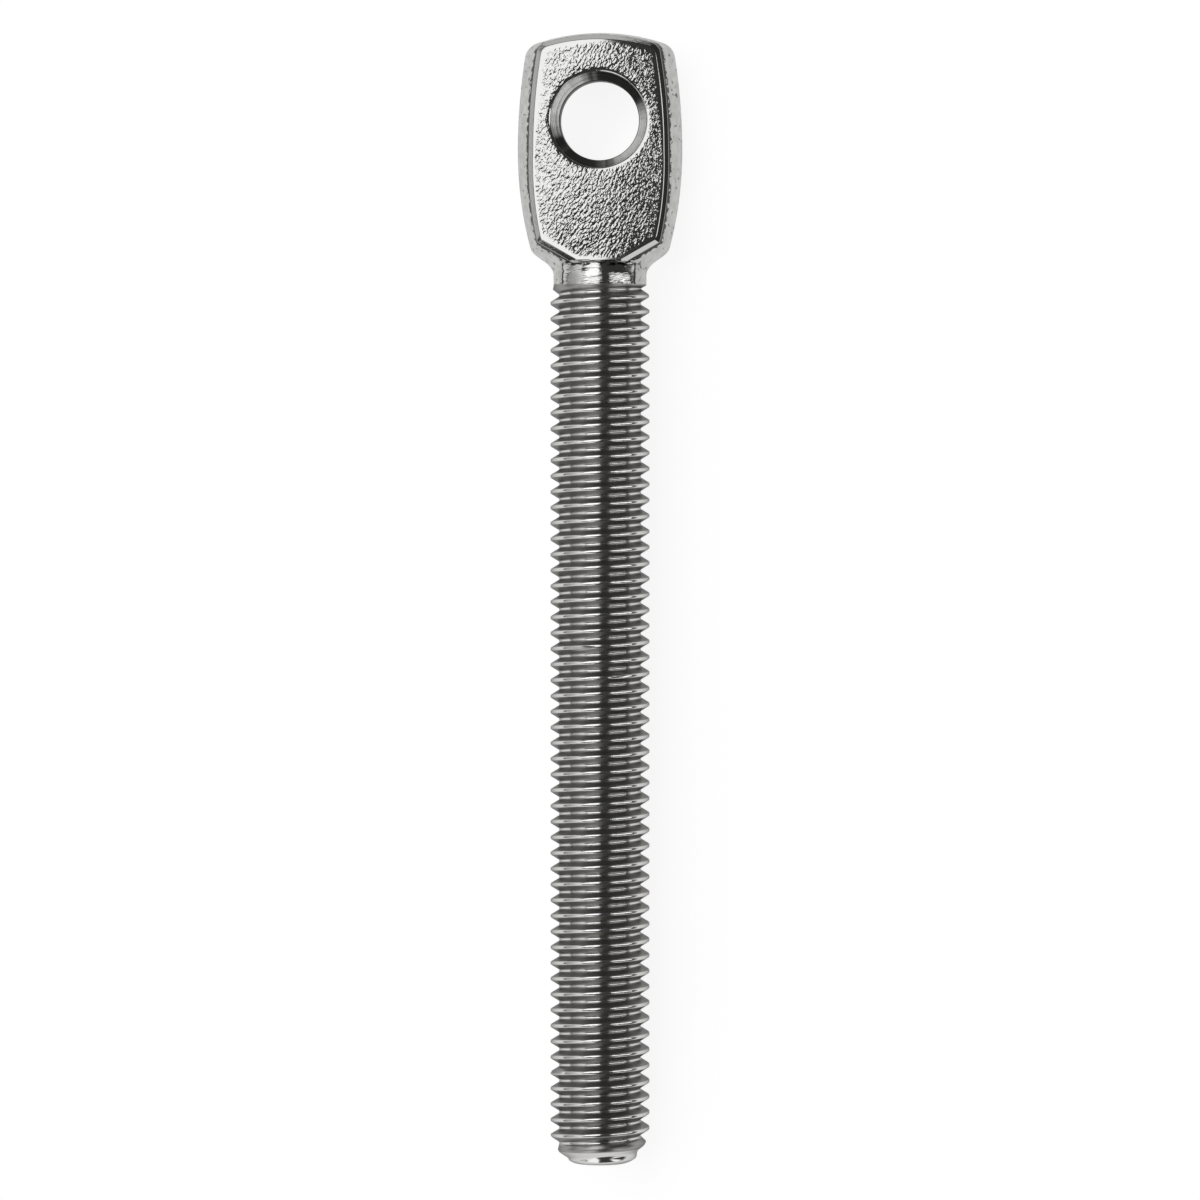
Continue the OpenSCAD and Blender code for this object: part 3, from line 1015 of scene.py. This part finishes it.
# World: dark, with a pale wall on the left and two pale panels beyond the tip. Each place is the X, Y or Z
# of a direction one unit long, and each pair of places is a soft edge

ROOM_GLOW = 0.045
# The wall is darker to the far left than near its right edge
WALL_GLOWS = (0.4, 0.95)
WALL_GLOW_X = (-1.0, -0.64)
WALL_END_X = (-0.64, -0.58)
WALL_FOOT_Z = (0.04, 0.08)
PANEL_GLOW = 1.2
LEFT_PANEL_X = ((-0.56, -0.5), (-0.12, -0.06))
RIGHT_PANEL_X = ((0.42, 0.5), (0.78, 0.84))
PANEL_END_Y = (-0.7, -0.62)
PANEL_FOOT_Z = (-0.02, 0.02)


def make_world():
    """The surroundings that the steel mirrors."""
    world = bpy.data.worlds.new("studio")
    bpy.context.scene.world = world
    world.use_nodes = True
    t = Tree(world.node_tree)
    m = t.math
    way = t.split(t.add("ShaderNodeTexCoord").outputs["Generated"])
    wall = t.ramp(way["X"], *WALL_GLOW_X, *WALL_GLOWS)
    in_wall = m("MULTIPLY", t.ramp(way["X"], *WALL_END_X, 1, 0), t.ramp(way["Z"], *WALL_FOOT_Z))
    both = m("ADD", t.band(way["X"], *LEFT_PANEL_X), t.band(way["X"], *RIGHT_PANEL_X))
    beyond = m("MULTIPLY", t.ramp(way["Y"], *PANEL_END_Y, PANEL_GLOW, 0), t.ramp(way["Z"], *PANEL_FOOT_Z))
    level = m("MAXIMUM", t.blend(in_wall, ROOM_GLOW, wall), m("MULTIPLY", both, beyond))
    shade = t.add("ShaderNodeCombineColor", (level, level, level)).outputs[0]
    t.wire(world.node_tree.nodes["Background"].inputs["Color"], shade)


make_world()

# Lamps

LAMP_DISTANCE = 0.8


def softbox(name, left, right, low, high, radiance):
    """A rectangular lamp between two angles to the right of straight up, and between two places in Y."""
    a = math.radians((left + right) / 2)
    lamp = bpy.data.lights.new(name, "AREA")
    lamp.shape = "RECTANGLE"
    lamp.size = 2 * LAMP_DISTANCE * math.tan(math.radians(right - left) / 2)
    lamp.size_y = high - low
    lamp.energy = radiance * math.pi * lamp.size * lamp.size_y
    o = bpy.data.objects.new(name, lamp)
    o.location = (LAMP_DISTANCE * math.sin(a), (low + high) / 2, LAMP_DISTANCE * math.cos(a))
    o.rotation_euler = (0, a, 0)
    bpy.context.scene.collection.objects.link(o)


softbox("left_softbox", -38, 0.3, -0.13, 1.3, 1.5)
softbox("right_softbox", 28.5, 82, -0.14, 0.12, 1.5)

# Camera, in metres

CAMERA_PLACE = (0.0288, -0.02768, 0.6)
CAMERA_AIM = (0, -0.03808, 0)
CAMERA_FIELD = math.radians(9.09)
SENSOR_WIDTH = 36


def place_camera():
    """The camera, with the thread straight down in its picture."""
    data = bpy.data.cameras.new("camera")
    camera = bpy.data.objects.new("camera", data)
    bpy.context.scene.collection.objects.link(camera)
    camera.location = CAMERA_PLACE
    back_axis = (camera.location - Vector(CAMERA_AIM)).normalized()
    right_axis = Vector((0, 1, 0)).cross(back_axis).normalized()
    up_axis = back_axis.cross(right_axis)
    camera.rotation_euler = Matrix((right_axis, up_axis, back_axis)).transposed().to_euler()
    data.sensor_width = SENSOR_WIDTH
    data.lens = SENSOR_WIDTH / 2 / math.tan(CAMERA_FIELD / 2)
    bpy.context.scene.camera = camera


place_camera()
bpy.context.scene.view_settings.view_transform = "Standard"
